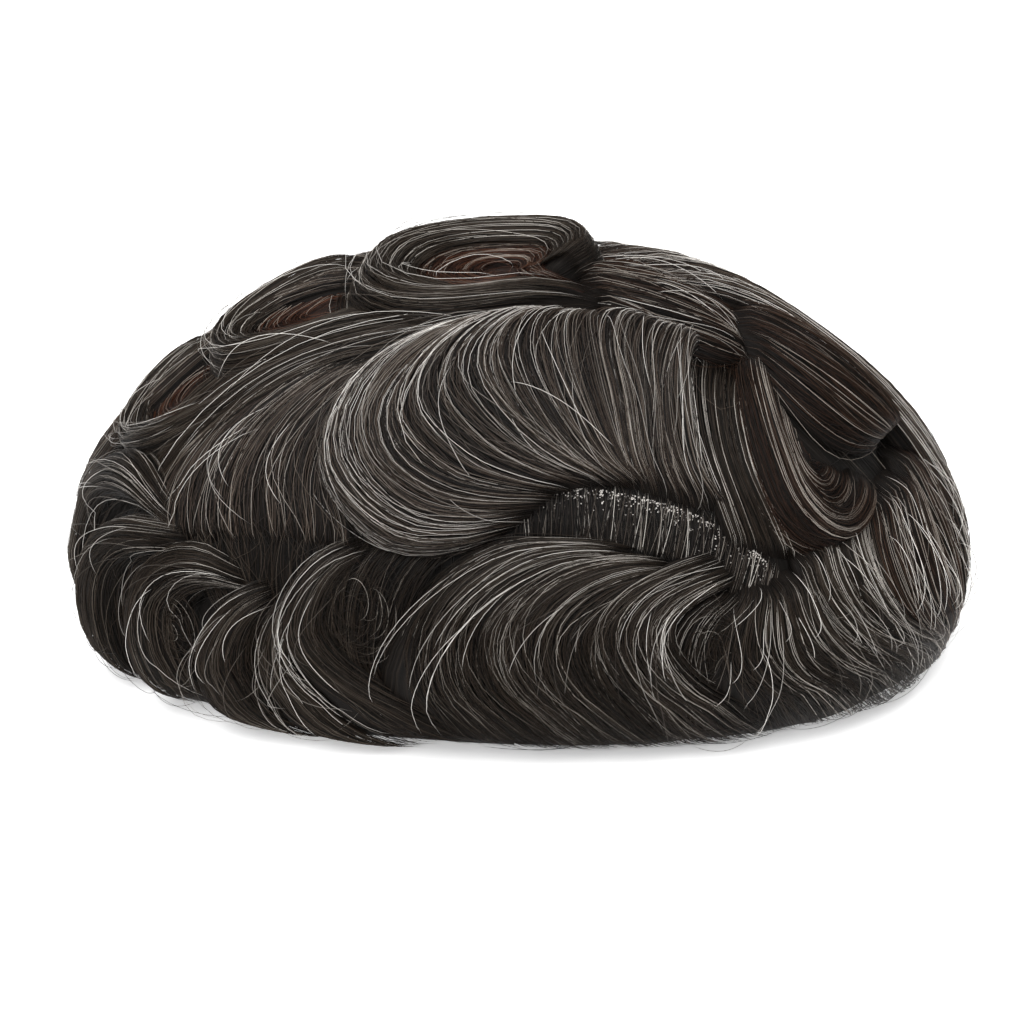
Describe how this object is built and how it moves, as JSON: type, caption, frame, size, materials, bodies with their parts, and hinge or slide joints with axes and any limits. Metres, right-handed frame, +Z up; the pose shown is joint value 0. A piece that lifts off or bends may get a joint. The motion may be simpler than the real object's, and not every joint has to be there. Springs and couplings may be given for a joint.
{
  "type": "toupee hairpiece",
  "caption": "Dark brown hairpiece streaked with grey: waved and curled locks set on a light domed base that is open underneath for the head.",
  "frame": {"origin": "centre of the bounding box at the surface that the hem stands on", "axes": "+X to the back of the head, +Y to the far side from the parting, +Z up"},
  "size_m": [0.2392, 0.1744, 0.1054],
  "materials": {
    "dark_hair": "satin",
    "warm_hair": "satin",
    "under_hair": "satin",
    "base_lace": "matt"
  },
  "bodies": {
    "root": {"base_cap": "base_lace", "hair_bed": "under_hair", "parting_wave": "dark_hair", "crown_curl": "warm_hair", "second_curl": "warm_hair", "third_curl": "warm_hair", "side_curl": "dark_hair", "back_top_lock": "dark_hair", "side_wave": "dark_hair", "front_curls": "dark_hair", "back_fall": "dark_hair", "whorl_sweep": "warm_hair", "crown_sweep": "dark_hair", "far_waves": "dark_hair"}
  },
  "joints": []
}
